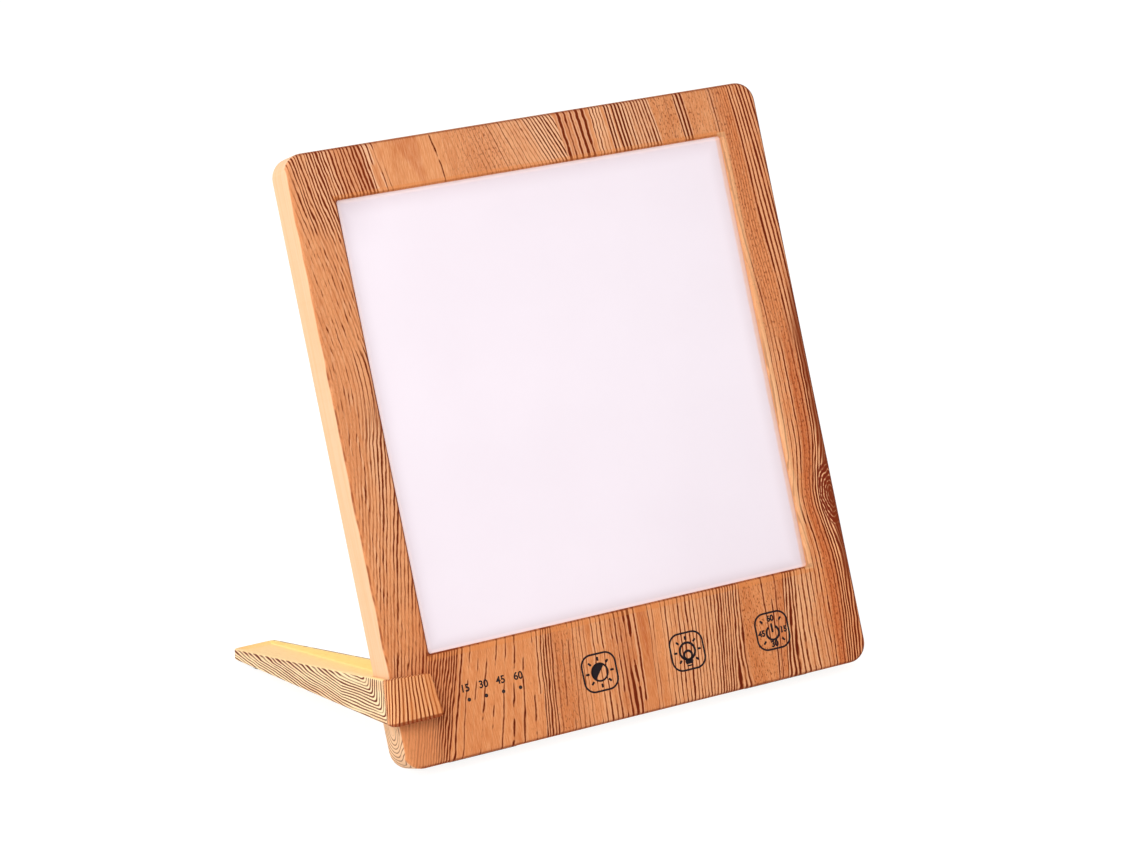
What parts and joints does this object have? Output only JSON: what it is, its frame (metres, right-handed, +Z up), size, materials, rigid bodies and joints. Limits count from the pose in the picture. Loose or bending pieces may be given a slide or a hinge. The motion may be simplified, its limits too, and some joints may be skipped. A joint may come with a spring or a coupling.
{
  "type": "light therapy lamp",
  "caption": "Tablet-style light therapy lamp: leaning wood-print panel with an opal window and touch keys, held up by a clip-on tapered stand leg.",
  "frame": {"origin": "middle of the whole lamp's footprint, on the surface it stands on", "axes": "+X to the right across the panel's front, +Y from the panel's front towards the leg's far end, +Z up"},
  "size_m": [0.2088, 0.1738, 0.2315],
  "materials": {
    "wood_print": "wood-grain print, satin",
    "pale_plastic": "pale wood-tone moulding, satin",
    "opal": "opal, satin",
    "film": "frosted film",
    "acrylic": "clear, polished edges",
    "white_sheet": "white, smooth",
    "aluminium": "mill finish sheet",
    "strip_white": "white solder mask",
    "board_green": "green solder mask",
    "chip_black": "moulded epoxy",
    "ferrite": "matt ferrite",
    "can_aluminium": "drawn can",
    "connector_ivory": "moulded nylon",
    "lead_red": "insulation",
    "socket_black": "moulded, matt",
    "spring_steel": "drawn wire",
    "clear_pipe": "clear moulding",
    "led_package": "phosphor and white housing",
    "zinc": "zinc plated",
    "foot_rubber": "matt"
  },
  "bodies": {
    "lamp": {"front_frame": "wood_print", "rear_cover": "pale_plastic", "diffuser": "opal", "diffusion_film": "film", "light_guide": "acrylic", "reflector_sheet": "white_sheet", "back_plate": "aluminium", "led_strip_left": "strip_white", "led_strip_right": "strip_white", "main_board": "board_green", "controller_chip": "chip_black", "driver_chip": "chip_black", "inductor": "ferrite", "capacitor": "can_aluminium", "connector_left": "connector_ivory", "connector_right": "connector_ivory", "lead_left": "lead_red", "lead_right": "lead_red", "dc_socket": "socket_black", "touch_spring_light": "spring_steel", "touch_spring_colour": "spring_steel", "touch_spring_timer": "spring_steel", "indicator_light_pipe": "clear_pipe", "indicator_led_1": "led_package", "indicator_led_2": "led_package", "indicator_led_3": "led_package", "indicator_led_4": "led_package", "cover_screw_1": "zinc", "cover_screw_2": "zinc", "cover_screw_3": "zinc", "cover_screw_4": "zinc", "cover_screw_5": "zinc", "cover_screw_6": "zinc", "plate_screw_1": "zinc", "plate_screw_2": "zinc", "plate_screw_3": "zinc", "plate_screw_4": "zinc", "board_screw_1": "zinc", "board_screw_2": "zinc", "board_screw_3": "zinc", "board_screw_4": "zinc", "panel_foot_left": "foot_rubber", "panel_foot_right": "foot_rubber"},
    "stand": {"stand_leg": "wood_print", "stand_foot": "foot_rubber"}
  },
  "joints": [
    {"name": "stand_slide", "type": "slide", "parent": "lamp", "child": "stand", "axis": [-1, 0, 0], "range_m": [0, 0.0185]}
  ]
}
